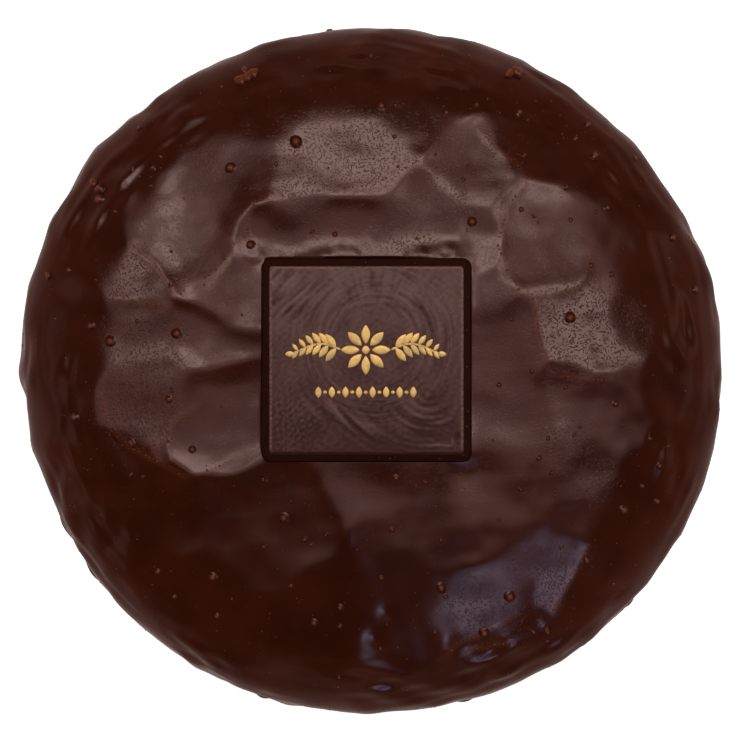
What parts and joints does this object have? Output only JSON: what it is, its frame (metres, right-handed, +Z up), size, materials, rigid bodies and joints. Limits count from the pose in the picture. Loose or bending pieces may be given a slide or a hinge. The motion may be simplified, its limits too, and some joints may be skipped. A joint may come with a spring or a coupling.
{
  "type": "chocolate-coated lebkuchen",
  "caption": "Round domed lebkuchen in a glossy dark chocolate coat, with a square chocolate plaque set into its top and a flat underside.",
  "frame": {"origin": "centre of the flat underside, under the middle of the outline", "axes": "+Z up through the dome towards the plaque, +X and +Y along the plaque's edges, +X along the slightly longer side of the outline"},
  "size_m": [0.091, 0.089, 0.0189],
  "materials": {
    "coat": "satin gloss dark chocolate with soft facets and small bumps",
    "plaque": "silky moulded dark chocolate with fine brushed arcs",
    "gold_print": "satin gold edible print"
  },
  "bodies": {
    "root": {"coated_biscuit": "coat", "plaque": "plaque"}
  },
  "joints": []
}
